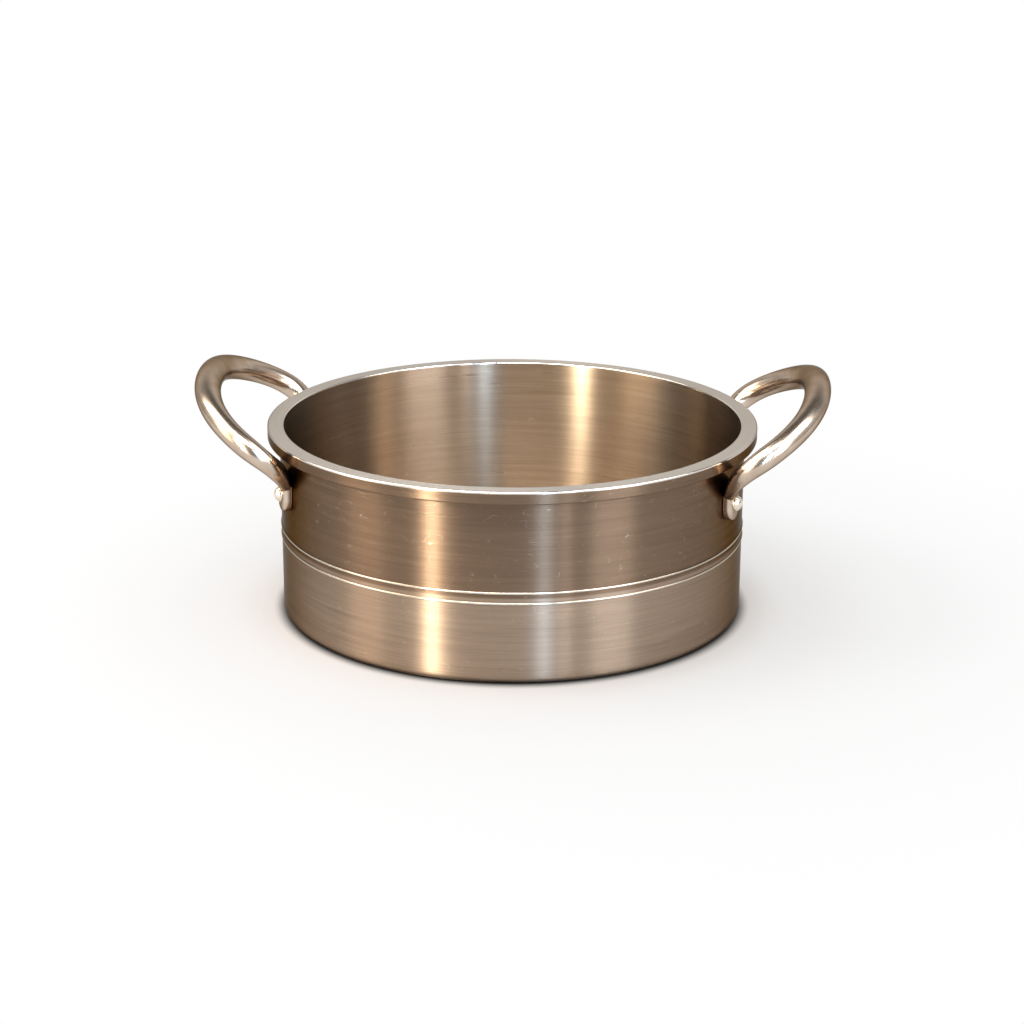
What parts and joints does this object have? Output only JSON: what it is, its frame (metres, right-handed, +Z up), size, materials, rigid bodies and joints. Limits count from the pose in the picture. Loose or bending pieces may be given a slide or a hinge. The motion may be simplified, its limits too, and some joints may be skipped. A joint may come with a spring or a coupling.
{
  "type": "saucepot",
  "caption": "Round shallow bronze saucepot with riveted loop handles, a thick flat rim and fine raised bands, for simmering on a hob and serving.",
  "frame": {"origin": "centre of the pot's underside, where it stands", "axes": "+Z up along the pot's axis, +X through the middle of one handle, -Y the front"},
  "size_m": [0.3312, 0.2572, 0.1289],
  "materials": {
    "brushed_bronze": "brushed round the axis",
    "polished_bronze": "polished",
    "pale_bronze": "satin"
  },
  "bodies": {
    "root": {"pot_body": "brushed_bronze", "left_handle": "polished_bronze", "right_handle": "polished_bronze", "left_front_rivet": "pale_bronze", "left_rear_rivet": "pale_bronze", "right_front_rivet": "pale_bronze", "right_rear_rivet": "pale_bronze"}
  },
  "joints": []
}
